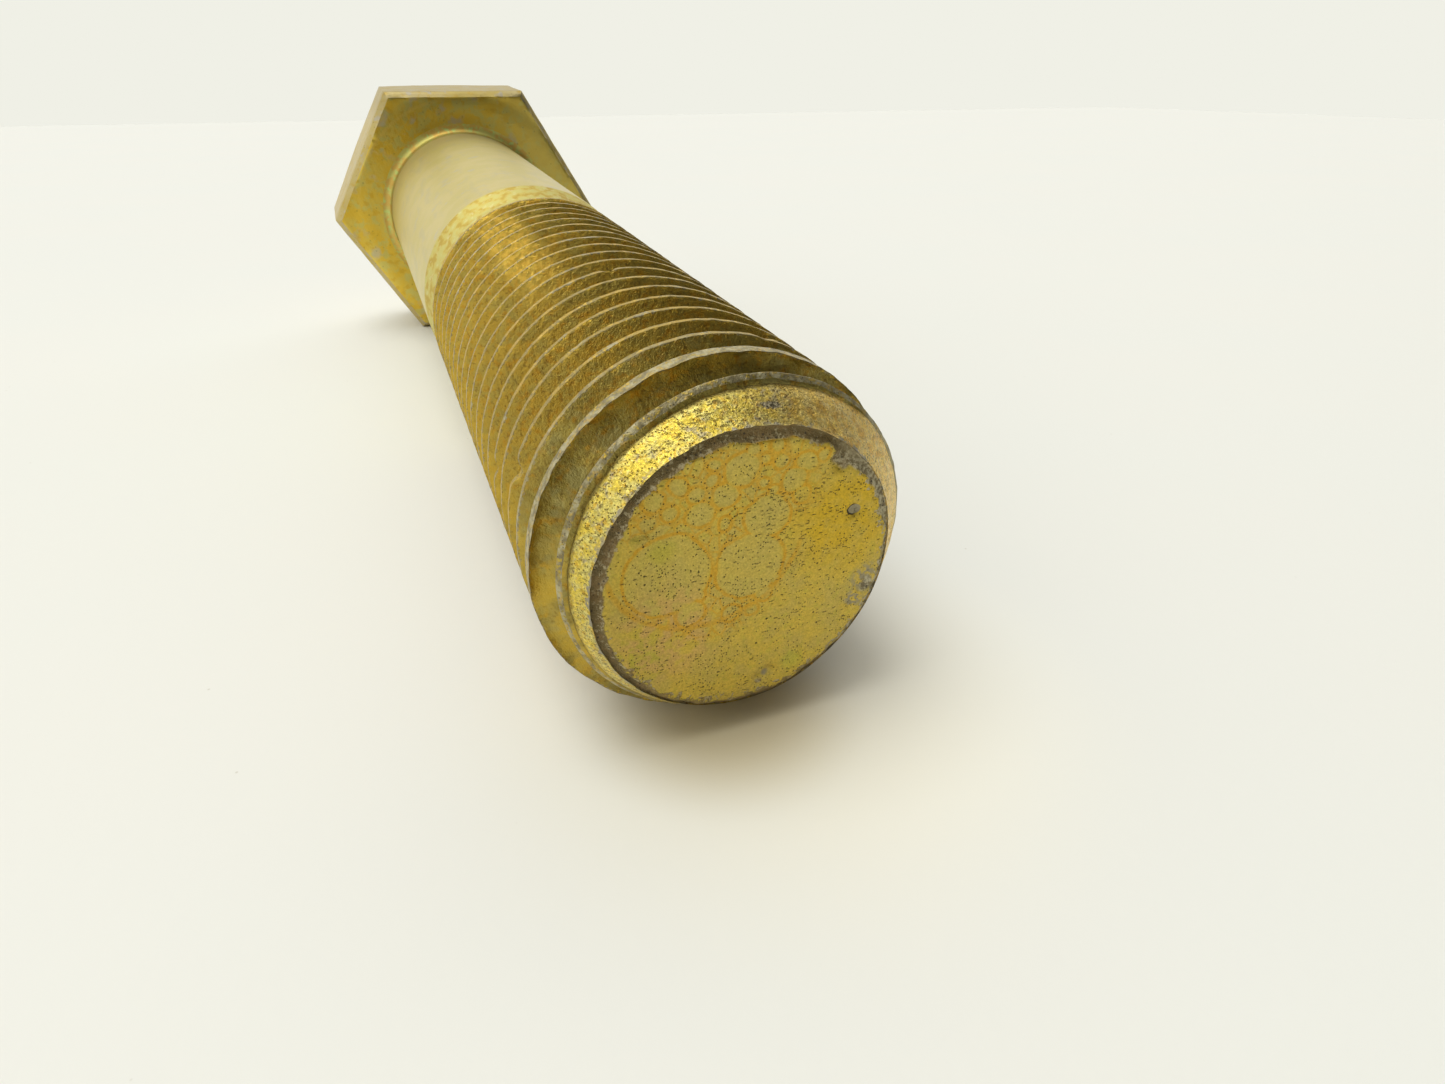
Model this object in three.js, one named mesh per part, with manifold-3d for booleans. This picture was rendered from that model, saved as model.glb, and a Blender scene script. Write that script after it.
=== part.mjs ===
// Heavy hex cap screw, 1-1/2 in - 6 UNC x 7 in, partly threaded, yellow zinc plated.
// Millimetres. The bolt lies along Y: the end face at its point is the origin, the head is towards +Y,
// and two of the six wrenching flats face straight up (+Z) and down (-Z).

import * as THREE from 'three';
import { mergeVertices } from 'three/addons/utils/BufferGeometryUtils.js';
import Module from 'manifold-3d';

const wasm = await Module();
wasm.setup();

// ---- driving dimensions -------------------------------------------------

const inch = 25.4;

// shank and thread
const majorDiameter = 1.5 * inch;
const threadsPerInch = 6;
const lengthUnderHead = 7 * inch;
const fullThreadEnd = 83;         // y where the groove starts to run out
const runOutTurns = 0.75;
const crestFlatShare = 1 / 8;     // of the pitch
const rootFlatShare = 1 / 6;      // of the pitch
const threadHeightShare = 0.6134; // of the pitch
const crestAngleAtEnd = 77.3;     // degrees from +X towards +Z where a crest crosses the end plane

// point and neck
const endFaceRadius = 14.8;
const chamferLength = 5.4;
const threadEnd = 85.6;           // y where the crests stop
const neckRadius = 17.7;          // the rolling blank, which shows between thread and shank
const shankStart = 97;
const shoulderAngle = 15;         // degrees from the axis

// under the head
const filletRadius = 1.6;
const washerFaceRadius = 26.3;
const washerFaceHeight = 0.5;

// head
const acrossFlats = 2.2 * inch;
const headHeight = (15 / 16) * inch;
const topChamferAngle = 30;       // degrees between the chamfer cone and the top face
const topFaceRadius = 26.5;
const bearingEdgeBevel = 1.2;     // of the flats' edges next to the bearing face

// faceting
const stepsPerTurn = 24;
const filletSteps = 3;

// ---- values worked out from them ----------------------------------------

const majorRadius = majorDiameter / 2;
const pitch = inch / threadsPerInch;
const threadHeight = threadHeightShare * pitch;
const rootRadius = majorRadius - threadHeight;
const apothem = acrossFlats / 2;
const cornerRadius = apothem / Math.cos(Math.PI / 6);
const headTop = lengthUnderHead + headHeight;
const degree = Math.PI / 180;

// ---- helpers ------------------------------------------------------------

// A closed three.js geometry becomes a manifold solid once its shared vertices are merged.
function toSolid(geometry) {
  const plain = geometry.index ? geometry.toNonIndexed() : geometry.clone();
  plain.deleteAttribute('normal');
  plain.deleteAttribute('uv');
  const merged = mergeVertices(plain, 1e-4);
  return new wasm.Manifold(new wasm.Mesh({
    numProp: 3,
    vertProperties: new Float32Array(merged.attributes.position.array),
    triVerts: new Uint32Array(merged.index.array),
  }));
}

function toGeometry(solid) {
  const mesh = solid.getMesh();
  const geometry = new THREE.BufferGeometry();
  geometry.setAttribute('position', new THREE.BufferAttribute(new Float32Array(mesh.vertProperties), 3));
  geometry.setIndex(new THREE.BufferAttribute(new Uint32Array(mesh.triVerts), 1));
  geometry.computeVertexNormals();
  return geometry;
}

// A profile of [radius, y] points turned round the Y axis.
function turned(profile) {
  const points = profile.map(([radius, y]) => new THREE.Vector2(radius, y));
  return toSolid(new THREE.LatheGeometry(points, stepsPerTurn));
}

// Points of a quarter-round between a cylinder and the face it meets.
function filletPoints(radius, centreRadius, centreY) {
  const points = [];
  for (let i = 0; i <= filletSteps; i += 1) {
    const angle = (i / filletSteps) * 90 * degree;
    points.push([centreRadius - radius * Math.cos(angle), centreY + radius * Math.sin(angle)]);
  }
  return points;
}

// ---- the turned blank: point, thread blank, neck, shank, fillet ----------

function blank() {
  const filletCentreY = lengthUnderHead - washerFaceHeight - filletRadius;
  const neckDepth = majorRadius - neckRadius;
  return turned([
    [0, 0],
    [endFaceRadius, 0],
    [majorRadius, chamferLength],
    [majorRadius, threadEnd],
    [neckRadius, threadEnd + neckDepth],
    [neckRadius, shankStart - neckDepth / Math.tan(shoulderAngle * degree)],
    [majorRadius, shankStart],
    ...filletPoints(filletRadius, majorRadius + filletRadius, filletCentreY),
    [washerFaceRadius, lengthUnderHead - washerFaceHeight],
    [washerFaceRadius, lengthUnderHead + 1],
    [0, lengthUnderHead + 1],
  ]);
}

// ---- the forged head ----------------------------------------------------

function head() {
  const outline = new THREE.Shape();
  for (let corner = 0; corner < 6; corner += 1) {
    const angle = corner * 60 * degree;
    const x = cornerRadius * Math.cos(angle);
    const z = cornerRadius * Math.sin(angle);
    if (corner === 0) outline.moveTo(x, z);
    else outline.lineTo(x, z);
  }
  const bevelled = new THREE.ExtrudeGeometry(outline, {
    depth: headHeight,
    bevelEnabled: true,
    bevelThickness: bearingEdgeBevel,
    bevelSize: bearingEdgeBevel,
    bevelOffset: -bearingEdgeBevel,
    bevelSegments: 1,
  });
  bevelled.rotateX(90 * degree);            // what was up the extrusion now points to -Y
  bevelled.translate(0, headTop + bearingEdgeBevel, 0);

  const coneDrop = (cornerRadius + 1 - topFaceRadius) * Math.tan(topChamferAngle * degree);
  const chamferCone = turned([
    [0, lengthUnderHead - 1],
    [cornerRadius + 1, lengthUnderHead - 1],
    [cornerRadius + 1, headTop - coneDrop],
    [topFaceRadius, headTop],
    [0, headTop],
  ]);
  return toSolid(bevelled).intersect(chamferCone);
}

// ---- the thread groove --------------------------------------------------

// A right-hand helix whose frames keep the groove's section in the plane through the axis.
// Over its last turns it climbs out of the metal, as a rolled thread runs out.
class GrooveHelix extends THREE.Curve {
  constructor(startAngle, turns) {
    super();
    this.startAngle = startAngle;
    this.turns = turns;
  }

  angle(t) {
    return this.startAngle - t * this.turns * 2 * Math.PI;
  }

  getPoint(t, target = new THREE.Vector3()) {
    const angle = this.angle(t);
    const runOut = Math.max(0, 1 - ((1 - t) * this.turns) / runOutTurns);
    const radius = rootRadius + runOut * (neckRadius + 0.5 - rootRadius);
    return target.set(radius * Math.cos(angle), grooveY(angle), radius * Math.sin(angle));
  }

  getPointAt(t, target) {
    return this.getPoint(t, target);
  }

  computeFrenetFrames(segments) {
    const frames = { tangents: [], normals: [], binormals: [] };
    for (let i = 0; i <= segments; i += 1) {
      const angle = this.angle(i / segments);
      const outward = new THREE.Vector3(Math.cos(angle), 0, Math.sin(angle));
      const towardsPoint = new THREE.Vector3(0, -1, 0);
      frames.normals.push(outward);
      frames.binormals.push(towardsPoint);
      frames.tangents.push(new THREE.Vector3().crossVectors(outward, towardsPoint));
    }
    return frames;
  }
}

// Where the groove's middle is at an angle: half a pitch from the crest, one pitch on for each turn back.
function grooveY(angle) {
  return pitch * ((crestAngleAtEnd * degree - angle) / (2 * Math.PI) - 0.5);
}

// The section is a 60 degree vee with a flat bottom. Its x is radial and its y is along the axis.
function groove() {
  const overlap = 1;                        // how far the cutter reaches outside the crest
  const halfRoot = (rootFlatShare * pitch) / 2;
  const slope = ((1 - crestFlatShare - rootFlatShare) * pitch) / 2 / threadHeight;
  const halfMouth = halfRoot + slope * (threadHeight + overlap);
  const section = new THREE.Shape();
  section.moveTo(0, -halfRoot);
  section.lineTo(threadHeight + overlap, -halfMouth);
  section.lineTo(threadHeight + overlap, halfMouth);
  section.lineTo(0, halfRoot);
  section.closePath();

  const startAngle = (360 + 5.5 * (360 / stepsPerTurn)) * degree;  // its steps fall between the blank's edges
  const fullTurns = (fullThreadEnd - grooveY(startAngle)) / pitch;
  const steps = Math.ceil((fullTurns + runOutTurns) * stepsPerTurn);
  return toSolid(new THREE.ExtrudeGeometry(section, {
    steps,
    bevelEnabled: false,
    extrudePath: new GrooveHelix(startAngle, steps / stepsPerTurn),
  }));
}

// ---- the bolt -----------------------------------------------------------

const yellowZinc = new THREE.MeshStandardMaterial({
  name: 'yellow_zinc',
  color: 0xb3923a,
  roughness: 0.42,
  metalness: 0.9,
});

const hexBolt = new THREE.Mesh(toGeometry(blank().add(head()).subtract(groove())), yellowZinc);
hexBolt.name = 'hex_bolt';

const group = new THREE.Group();
group.add(hexBolt);

export default group;
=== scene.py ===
import math
import bmesh
import bpy
import numpy as np
from mathutils import Matrix, Vector


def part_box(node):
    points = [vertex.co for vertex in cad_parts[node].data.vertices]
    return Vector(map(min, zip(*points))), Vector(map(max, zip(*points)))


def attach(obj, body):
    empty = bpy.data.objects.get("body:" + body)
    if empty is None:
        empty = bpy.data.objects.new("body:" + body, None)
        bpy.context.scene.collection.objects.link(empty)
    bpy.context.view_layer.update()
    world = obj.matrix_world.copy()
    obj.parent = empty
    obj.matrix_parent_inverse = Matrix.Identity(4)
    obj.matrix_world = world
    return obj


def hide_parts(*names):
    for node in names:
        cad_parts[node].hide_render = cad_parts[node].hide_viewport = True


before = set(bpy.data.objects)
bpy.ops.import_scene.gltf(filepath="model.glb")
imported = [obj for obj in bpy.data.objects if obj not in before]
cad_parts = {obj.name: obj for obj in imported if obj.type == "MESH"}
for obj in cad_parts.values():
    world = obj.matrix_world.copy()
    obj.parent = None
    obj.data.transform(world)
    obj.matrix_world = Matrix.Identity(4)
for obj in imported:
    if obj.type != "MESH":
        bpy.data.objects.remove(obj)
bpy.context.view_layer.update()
boltHigh = np.array(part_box("hex_bolt")[1]) * 1000
toMetres = 0.001
fullTurn = 2 * math.pi
print("frame loaded")

# Lengths are millimetres until a mesh is made. Angles are degrees from +X towards +Z round the bolt.

bolt = {
    "columns": 264,            # round the axis, a multiple of 6 so that the hexagon's corners are sharp
    "majorRadius": 19.05,
    "pitch": 25.4 / 6,
    "crestFlat": 1 / 8,        # of the pitch
    "rootFlat": 1 / 6,         # of the pitch
    "threadHeight": 0.6134,    # of the pitch
    "crestAngle": 77.3,        # where a crest crosses the end plane
    "fullThreadEnd": 83,
    "runOutTurns": 0.75,
    "threadEnd": 85.6,
    "neckRadius": 17.7,
    "shankStart": 97,
    "shoulderAngle": 15,
    "chamferRadius": 14.8,
    "chamferLength": 5.4,
    "filletRadius": 1.6,
    "washerRadius": 26.3,
    "washerStep": 0.3,
    "headHeight": 23.8125,
    "edgeBevel": 1.2,
    "topAngle": 30,
    "topRadius": 26.5,
}

wear = {
    "faceRadius": 13.8,        # where the rough band round the end face starts
    "bandGone": (-70, 95, 0.8),   # angle, half spread and how far the face grows where the band closes up
    "bandDepth": 0.5,
    "crestRaggedness": 0.14,
    "wideCrest": (8.0, 1.6, 1.0),   # y of the mushroomed crest, how far along it lasts, how wide it spread
    "firstCrest": (3.7, 1.7, 0.12),
    "valleyDepth": 0.52,             # the corner where the cone meets the first crest's step
    "dentSize": 0.045,
    "lip": (0.16, 0.1, 0.05),       # height of the fold where the cone begins, and its coarse and fine waves
    "flatRim": (-25, 40, 0.45),     # angle, half spread and depth where the point's rim is beaten down
    "nicks": [  # angle, y, radius, depth
        (160, 15.9, 0.8, 1.0), (118, 8.9, 0.7, 0.15), (171, 24.3, 0.6, 0.6), (70, 12.8, 0.6, 0.2),
        (35, 22.1, 0.7, 0.5), (300, 30.0, 1.0, 0.7), (230, 47.5, 0.9, 0.6), (95, 38.2, 0.6, 0.4),
    ],
    "faceMarks": [  # x, z, radius, depth
        (10.5, 5.0, 0.75, 0.3), (2.6, -11.8, 0.6, 0.35), (1.4, -12.5, 0.5, 0.3), (12.4, -3.6, 1.0, 0.2),
        (-10.6, 6.5, 0.4, 0.3), (-9.7, 6.6, 0.4, 0.3), (1.2, 11.0, 0.3, 0.3), (8.5, 10.4, 0.9, 0.4),
    ],
}


# Numbers that look random but are the same each run.
# Each whole-number cell gets a steady number, and a point takes the smooth blend of its eight cell corners.
def lumps(x, y, z, size, seed):
    place = [np.asarray(axis, dtype=float) / size + 100.0 for axis in (x, y, z)]
    cell = [np.floor(axis).astype(np.int64) for axis in place]
    part = [axis - whole for axis, whole in zip(place, cell)]
    part = [t * t * (3 - 2 * t) for t in part]
    total = 0.0
    for corner in range(8):
        step = (corner & 1, (corner >> 1) & 1, corner >> 2)
        mixed = seed * 7919
        for whole, up, prime in zip(cell, step, (73856093, 19349663, 83492791)):
            mixed = mixed ^ ((whole + up) * prime)
        mixed = (mixed ^ (mixed >> 13)) & 0xffffffff
        mixed = (mixed * 1103515245 + 12345) & 0xffffffff
        mixed = ((mixed ^ (mixed >> 15)) * 2246822519) & 0xffffffff
        weight = 1.0
        for t, up in zip(part, step):
            weight = weight * (t if up else 1 - t)
        total = total + weight * (mixed / 0xffffffff)
    return total * 2 - 1


# A bump of height one that falls to nothing at its spread, with a flat middle.
def window(value, middle, spread):
    return np.exp(-((value - middle) / spread) ** 4)


# Degrees between two directions round the axis, from 0 to 180.
def apart(angle, middle):
    return np.abs((np.degrees(angle) - middle + 180) % 360 - 180)


# The bolt's surface is rows of points, from the end face's centre to the middle of the head.
angles = np.linspace(0, fullTurn, bolt["columns"] + 1)
majorRadius = bolt["majorRadius"]
pitch = bolt["pitch"]
headTop = boltHigh[1]
bearingY = headTop - bolt["headHeight"]
neckDepth = majorRadius - bolt["neckRadius"]
neckFoot = bolt["shankStart"] - neckDepth / math.tan(math.radians(bolt["shoulderAngle"]))


# The outside that the thread is cut into: the point's cone, the straight part, and the drop to the neck.
def envelope(y):
    ys = [0, bolt["chamferLength"], bolt["threadEnd"], bolt["threadEnd"] + neckDepth]
    radii = [bolt["chamferRadius"], majorRadius, majorRadius, bolt["neckRadius"]]
    middle, halfSpread, depth = wear["flatRim"]
    beaten = depth * np.exp(-(apart(angles, middle) / halfSpread) ** 4)
    return np.interp(y, ys, radii) - beaten * np.clip(1 - y / 5, 0, 1)


# How far along the axis the cone begins at each angle: a small height with two sizes of waves on it.
def lipHeight():
    height, coarse, fine = wear["lip"]
    x, z = np.cos(angles) * bolt["chamferRadius"], np.sin(angles) * bolt["chamferRadius"]
    return height + coarse * lumps(x, 0, z, 1.3, 3) + fine * lumps(x, 0, z, 0.5, 4)


# The rows of the flank that faces the point, from root to crest: the share of the thread's depth,
# and how deep the cone dips there before the first crest's step.
tipFlank = ((1.0, 0.0), (0.72, 0.1), (0.46, 0.38), (0.24, 0.75), (0.08, 1.0), (0.0, 0.15))


# Each turn of the thread is the same set of rows, laid along the helix, so its edges are clean.
# A row's y is its crest's y plus an offset, its radius is the crest's less a depth,
# and the last column of a row meets the first column of the row one turn before.
def threadRows():
    height = bolt["threadHeight"] * pitch
    halfCrest = bolt["crestFlat"] * pitch / 2
    halfRoot = bolt["rootFlat"] * pitch / 2
    flank = pitch / 2 - halfCrest - halfRoot
    turns = np.arange(-1, 23)[:, None, None]    # enough to pass the end face and the neck
    crestY = pitch * (turns - (angles - math.radians(bolt["crestAngle"])) / fullTurn)

    def spread(y):
        x, z = np.cos(angles) * majorRadius, np.sin(angles) * majorRadius
        ragged = 0.5 + 0.5 * lumps(x, y, z, 2.8, 11) + 0.35 * lumps(x, y, z, 1.2, 12)
        wide = wear["wideCrest"][2] * window(y, wear["wideCrest"][0], wear["wideCrest"][1])
        first = wear["firstCrest"][2] * window(y, wear["firstCrest"][0], wear["firstCrest"][1])
        return np.clip(wear["crestRaggedness"] * ragged + (wide + first) * (0.6 + 0.6 * ragged), 0, 1.3)

    # The part of a crest's head-side half that is left: the worn crests start their flank at once.
    def headHalf(y):
        worn = np.maximum(window(y, *wear["wideCrest"][:2]), window(y, *wear["firstCrest"][:2]))
        return halfCrest * (1 - 0.6 * worn)

    # A crest on the cone is only as high as the cone.
    def crestTop(y):
        return np.interp(y, [0, bolt["chamferLength"]], [bolt["chamferRadius"], majorRadius])

    topHere, topNext = crestTop(crestY), crestTop(crestY + pitch)
    rootRadius = majorRadius - height
    nextSpread = spread(crestY + pitch)
    half = headHalf(crestY)
    zero = 0 * crestY
    rows = [(zero, zero, topHere), (half, zero, topHere)]
    for share in (0.3, 0.65, 1.0):
        rows.append((half + share * (flank + halfCrest - half), zero + share, topHere))
    rows.append((zero + pitch / 2, zero + 1, topHere))
    for share, dip in tipFlank:
        place = pitch - halfCrest - share * flank - nextSpread * (1 - share) ** 3
        rows.append((place, zero + share, topNext))
    offset, share, top = [np.concatenate(part, axis=1).reshape(-1, angles.size) for part in zip(*rows)]
    y = np.repeat(crestY[:, 0], len(rows), axis=0) + offset

    runOut = np.clip((y - bolt["fullThreadEnd"]) / (bolt["runOutTurns"] * pitch), 0, 1)
    share = share * (1 - runOut)
    y = np.clip(y, lipHeight(), 88.0)
    limit = envelope(y)
    cut = majorRadius - share * height
    cut = np.where(top < majorRadius, top - share * np.maximum(top - rootRadius, 0), cut)
    tipRows = np.tile(np.arange(len(rows)) >= len(rows) - len(tipFlank), turns.size)[:, None]
    tipSide = tipRows & (top < majorRadius)
    crestHere = np.repeat(crestY[:, 0], len(rows), axis=0) + pitch * tipRows
    rise = np.clip((top - rootRadius) / 0.9, 0, 1)
    dips = [0.0] * (len(rows) - len(tipFlank)) + [dip for share, dip in tipFlank]
    valley = np.tile(dips, turns.size)[:, None] * rise * tipSide
    valley = valley * (1 - 0.9 * np.clip((crestHere - 4.15) / 0.5, 0, 1))
    # The groove opens out of the cone, later on its tip side than on its head side.
    openingTip = np.clip((crestHere - 5.2) / 0.6, 0, 1)
    openingRest = np.clip((crestHere - 0.7) / 0.8, 0, 1)
    opening = np.where(tipRows, openingTip, openingRest)
    cut = (1 - opening) * (limit - wear["valleyDepth"] * valley) + opening * np.maximum(cut, rootRadius)
    radius = np.minimum(cut, limit)
    lowCrest = top < rootRadius + 0.15
    onCone = (y < bolt["chamferLength"]) & (radius >= limit - 0.8) & ((share > 0.05) | lowCrest)
    onCone = onCone & (tipSide | lowCrest)

    x, z = np.cos(angles) * radius, np.sin(angles) * radius
    middle = share * (1 - share) * 4
    chips = np.clip(lumps(x, y, z, 0.9, 21), 0, 1) * window(y, 6.5, 4.5)
    radius = radius - 0.15 * chips * middle * (1 - onCone)
    radius = radius - wear["dentSize"] * (0.5 + 0.5 * lumps(x, y, z, 1.6, 22)) * (share < 0.01)
    radius = radius - 0.04 * (1 + lumps(x, y, z, 0.7, 23))
    radius = radius - 0.08 * np.clip(lumps(x, y, z, 2.2, 24), 0, 1) * onCone
    for angle, nickY, size, deep in wear["nicks"]:
        a = math.radians(angle)
        gap2 = (x - majorRadius * math.cos(a)) ** 2 + (z - majorRadius * math.sin(a)) ** 2 + (y - nickY) ** 2
        radius = radius - deep * np.exp(-gap2 / size ** 2) * (1 - share)
    # All rows meet where they run out, at the lip and at the neck.
    lip = np.clip((y - lipHeight()) / 0.2, 0, 1)
    radius = radius * lip + envelope(y) * (1 - lip)
    blend = np.clip((y - 86.6) / 0.8, 0, 1)
    radius = radius * (1 - blend) + bolt["neckRadius"] * blend
    crest = np.where(y > 87, 0, np.where(onCone, -valley, 1 - share))
    return y, radius, crest, np.where(onCone, 1, 2)


# The end face is rings out to a ragged rim, then the rough crevice between it and the folded lip of the cone.
def endRows():
    deg = apart(angles, wear["bandGone"][0])
    closed = np.exp(-(deg / wear["bandGone"][1]) ** 4)
    x, z = np.cos(angles) * 14, np.sin(angles) * 14
    rim = wear["faceRadius"] + wear["bandGone"][2] * closed
    rim = rim + 0.26 * lumps(x, 0, z, 2.0, 31) + 0.24 * lumps(x, 0, z, 0.75, 32)
    lipY = lipHeight()
    lipRadius = envelope(lipY)
    rim = np.minimum(rim, lipRadius - 0.3)
    beaten = np.exp(-(apart(angles, 10) / 45) ** 4)
    deep = wear["bandDepth"] * (1 - 0.7 * closed) * (1 - 0.6 * beaten) * (0.8 + 0.3 * lumps(x, 0, z, 1.5, 33))
    rings = np.concatenate([np.linspace(0, 0.93, 27), (0.955, 0.975, 0.99)])[:, None]
    radius = [rings * rim]
    y = [np.zeros((rings.size, angles.size))]
    crevice = ((0.0, 0.05), (0.14, 0.35), (0.32, 0.75), (0.5, 1.0), (0.68, 0.95), (0.84, 0.65), (0.95, 0.3))
    for share, drop in crevice:
        radius.append((rim + share * (lipRadius - rim))[None, :])
        y.append((drop * deep + max(0, share - 0.5) * 2 * lipY)[None, :])
    radius, y = np.concatenate(radius), np.concatenate(y)
    x, z = radius * np.cos(angles), radius * np.sin(angles)
    y = y + 0.02 + 0.025 * (1 + lumps(x, 0, z, 3.0, 41)) + 0.012 * (1 + lumps(x, 0, z, 0.8, 42))
    rough = np.clip((radius - rim + 0.3) / 0.3, 0, 1)
    y = y + rough * 0.09 * (1 + lumps(x, y, z, 0.55, 43))
    for markX, markZ, size, drop in wear["faceMarks"]:
        y = y + drop * np.exp(-(((x - markX) ** 2 + (z - markZ) ** 2) / size ** 2) ** 2)
    zone = np.zeros(y.shape)
    return y, radius, zone, zone


# Neck, shoulder, shank, fillet and washer face are rings, and the head's rings take the hexagon's outline.
def bodyRows():
    hexagon = boltHigh[2] / np.cos(angles % (fullTurn / 6) - fullTurn / 12)
    small = (boltHigh[2] - bolt["edgeBevel"]) / boltHigh[2]
    faceY = bearingY - bolt["washerStep"]
    rows = []

    def ring(y, radius, zone):
        rows.append((y + 0 * angles, radius + 0 * angles, zone + 0 * angles))

    for y in (89.5, 91, neckFoot - 0.15):
        ring(y, bolt["neckRadius"], 3)
    for share in (0.03, 0.2, 0.45, 0.7, 0.9, 0.97):
        ring(neckFoot + share * (bolt["shankStart"] - neckFoot), bolt["neckRadius"] + share * neckDepth, 3)
    for y in (bolt["shankStart"] + 0.25, *np.linspace(99, 175.2, 20)):
        ring(y, majorRadius - 0.02, 4)
    centre = majorRadius + bolt["filletRadius"]
    for step in range(7):
        turn = step / 6 * math.pi / 2
        rise, inward = bolt["filletRadius"] * math.sin(turn), bolt["filletRadius"] * math.cos(turn)
        ring(faceY - bolt["filletRadius"] + rise, centre - inward, 5)
    ring(faceY, 21.0, 5)
    for radius in (22.2, 23.2, 24.2):
        ring(faceY, radius, 6)
    for share in (0.12, 0.5, 0.88):
        slope = np.minimum(bolt["washerRadius"] + 3.0 * (share - 0.5), hexagon * small - 0.25 * (1.1 - share))
        ring(faceY + share * bolt["washerStep"], slope, 6)
    inner = np.minimum(bolt["washerRadius"] + 1.7, hexagon * small - 0.02)
    for share in (0, 0.35, 0.7, 0.96):
        ring(bearingY, inner + share * (hexagon * small - inner), 6)
    for share in (0.06, 0.5, 0.94):
        ring(bearingY + share * bolt["edgeBevel"], hexagon * (small + share * (1 - small)), 7)
    coneDrop = (hexagon - bolt["topRadius"]) * math.tan(math.radians(bolt["topAngle"]))
    sideFoot = bearingY + bolt["edgeBevel"] + 0.15
    for share in (0, 0.2, 0.4, 0.6, 0.8, 0.98):
        ring(sideFoot + share * (headTop - coneDrop - sideFoot), hexagon, 7)
    for share in (0.04, 0.5, 0.93):
        ring(headTop - coneDrop * (1 - share), hexagon + share * (bolt["topRadius"] - hexagon), 8)
    for radius in (bolt["topRadius"] - 0.3, 24, 20, 15, 10, 5, 2, 0):
        ring(headTop, radius, 8)

    y, radius, zone = [np.array(part) for part in zip(*rows)]
    x, z = radius * np.cos(angles), radius * np.sin(angles)
    inHead = y > faceY - 0.01
    soft = 0.02 * (1 + lumps(x, y, z, 9.0, 51)) + 0.012 * (1 + lumps(x, y, z, 1.4, 52)) * (zone != 4)
    across = (zone == 6) & inHead
    y = y + soft * across - soft * (zone == 8)
    flats = 0.05 * (zone == 7) * (1 + lumps(x, y, z, 2.5, 53))
    radius = radius - np.where(across | (zone == 8), 0, soft + flats)
    return y, np.maximum(radius, 0), 0 * y, zone


# The rows one after another: a point is (radius times cosine, y, radius times sine) of its column's angle.
# Neighbouring rows and columns make four-sided faces, and points that fall together become one.
def boltMesh():
    parts = [endRows(), threadRows(), bodyRows()]
    y, radius, crest, zone = [np.concatenate([part[i] for part in parts]) for i in range(4)]
    points = np.stack([radius * np.cos(angles), y, radius * np.sin(angles)], axis=-1) * toMetres
    rowCount, columnCount = y.shape
    row = np.arange(rowCount - 1)[:, None] * columnCount
    column = np.arange(columnCount - 1)[None, :]
    corner = row + column
    around = [corner, corner + columnCount, corner + columnCount + 1, corner + 1]
    faces = np.stack(around, axis=-1).reshape(-1, 4)
    faceZone = zone.ravel()[faces].max(axis=1)
    mesh = bpy.data.meshes.new("hexBolt")
    mesh.vertices.add(points.size // 3)
    mesh.vertices.foreach_set("co", points.ravel())
    mesh.loops.add(faces.size)
    mesh.loops.foreach_set("vertex_index", faces.ravel().astype(np.int32))
    mesh.polygons.add(len(faces))
    mesh.polygons.foreach_set("loop_start", (np.arange(len(faces)) * 4).astype(np.int32))
    mesh.polygons.foreach_set("material_index", faceZone.astype(np.int32))
    mesh.update(calc_edges=True)
    mesh.attributes.new("crest", "FLOAT", "POINT").data.foreach_set("value", crest.ravel())
    weld = bmesh.new()
    weld.from_mesh(mesh)
    bmesh.ops.remove_doubles(weld, verts=weld.verts, dist=1e-6)
    bmesh.ops.dissolve_degenerate(weld, edges=weld.edges, dist=1e-7)
    loose = sum(1 for edge in weld.edges if len(edge.link_faces) != 2)
    weld.to_mesh(mesh)
    weld.free()
    mesh.polygons.foreach_set("use_smooth", [True] * len(mesh.polygons))
    mesh.set_sharp_from_angle(angle=math.radians(38))
    print("bolt mesh:", len(mesh.polygons), "faces,", loose, "open edges")
    return mesh


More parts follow.
